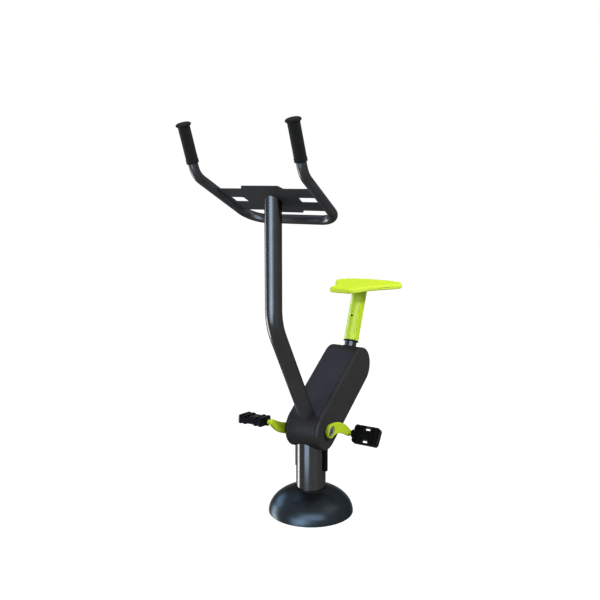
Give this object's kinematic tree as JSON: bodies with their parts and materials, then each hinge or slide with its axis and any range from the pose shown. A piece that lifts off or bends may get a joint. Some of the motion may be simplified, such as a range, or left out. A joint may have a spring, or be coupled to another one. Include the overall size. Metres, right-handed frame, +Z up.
{
  "type": "outdoor exercise bike",
  "caption": "Outdoor exercise bike on a ground post with a domed base, leaning drive housing, bent mast with raised handlebar, lime saddle on a sliding sleeve, curved cranks and block pedals.",
  "frame": {"origin": "centre of the base flange, on its underside at ground level", "axes": "+X forward from the saddle to the handlebar, +Y to the rider's left, +Z up"},
  "size_m": [1.0432, 0.473, 1.4545],
  "materials": {
    "anthracite_paint": "satin anthracite powder coat",
    "dark_moulding": "satin dark grey moulded plastic",
    "lime_paint": "satin lime powder coat",
    "lime_moulding": "satin lime moulded plastic",
    "black_rubber": "matt black rubber",
    "black_moulding": "matt black plastic",
    "plain_steel": "zinc-plated steel",
    "cast_iron": "machined cast iron",
    "pulley_aluminium": "turned aluminium"
  },
  "bodies": {
    "frame": {"base_flange": "anthracite_paint", "base_gussets": "anthracite_paint", "base_post": "anthracite_paint", "post_cap": "anthracite_paint", "ground_cover": "dark_moulding", "side_plate_left": "anthracite_paint", "side_plate_right": "anthracite_paint", "bearing_hub_left": "anthracite_paint", "bearing_hub_right": "anthracite_paint", "bracket_shell": "anthracite_paint", "neck_block": "anthracite_paint", "mast": "anthracite_paint", "handlebar_tube": "anthracite_paint", "handlebar_plate": "anthracite_paint", "grip_left": "black_rubber", "grip_right": "black_rubber", "spine_tube": "anthracite_paint", "shaft_hub": "anthracite_paint", "seat_tube": "anthracite_paint", "seat_tube_plug": "black_moulding", "seat_tube_grommet": "black_rubber", "housing_band": "anthracite_paint", "cover_left": "dark_moulding", "cover_right": "dark_moulding", "cover_screws": "plain_steel", "axle_seals": "black_rubber", "crank_bearing_outer_rings": "plain_steel", "flywheel_bearing_outer_rings": "plain_steel", "drive_belt": "black_rubber"},
    "crankset": {"crank_axle": "plain_steel", "crank_bearing_inner_rings": "plain_steel", "drive_pulley": "pulley_aluminium", "crank_left": "lime_paint", "crank_right": "lime_paint", "crank_bolts": "plain_steel", "crank_washers": "plain_steel", "pedal_spindle_left": "plain_steel", "pedal_spindle_right": "plain_steel"},
    "left_pedal": {"pedal_left": "black_moulding", "pedal_bushes_left": "black_moulding", "pedal_cap_left": "black_moulding"},
    "right_pedal": {"pedal_right": "black_moulding", "pedal_bushes_right": "black_moulding", "pedal_cap_right": "black_moulding"},
    "flywheel": {"flywheel_shaft": "plain_steel", "flywheel": "cast_iron", "flywheel_pulley": "pulley_aluminium", "flywheel_bearing_inner_rings": "plain_steel", "flywheel_nuts": "plain_steel"},
    "seat": {"seat_sleeve": "lime_paint", "seat_lower_bush": "black_moulding", "seat_upper_bush": "black_moulding", "seat_plate": "plain_steel", "saddle": "lime_moulding", "saddle_bolts": "plain_steel", "seat_lock_screw": "plain_steel"}
  },
  "joints": [
    {"name": "crank_spin", "type": "hinge", "parent": "frame", "child": "crankset", "pos_m": [-0.003, 0, 0.328], "axis": [0, 1, 0], "continuous": true},
    {"name": "pedal_left_spin", "type": "hinge", "parent": "crankset", "child": "left_pedal", "pos_m": [-0.14797, 0, 0.28229], "axis": [0, 1, 0], "continuous": true},
    {"name": "pedal_right_spin", "type": "hinge", "parent": "crankset", "child": "right_pedal", "pos_m": [0.14197, 0, 0.37371], "axis": [0, 1, 0], "continuous": true},
    {"name": "flywheel_spin", "type": "hinge", "parent": "frame", "child": "flywheel", "pos_m": [-0.17912, 0, 0.45132], "axis": [0, 1, 0], "continuous": true},
    {"name": "seat_height", "type": "slide", "parent": "frame", "child": "seat", "axis": [-0.3453, 0, 0.9385], "range_m": [-0.01, 0.08]}
  ],
  "couplings": [
    {"joint": "flywheel_spin", "follows": "crank_spin", "ratio": 2.5}
  ]
}
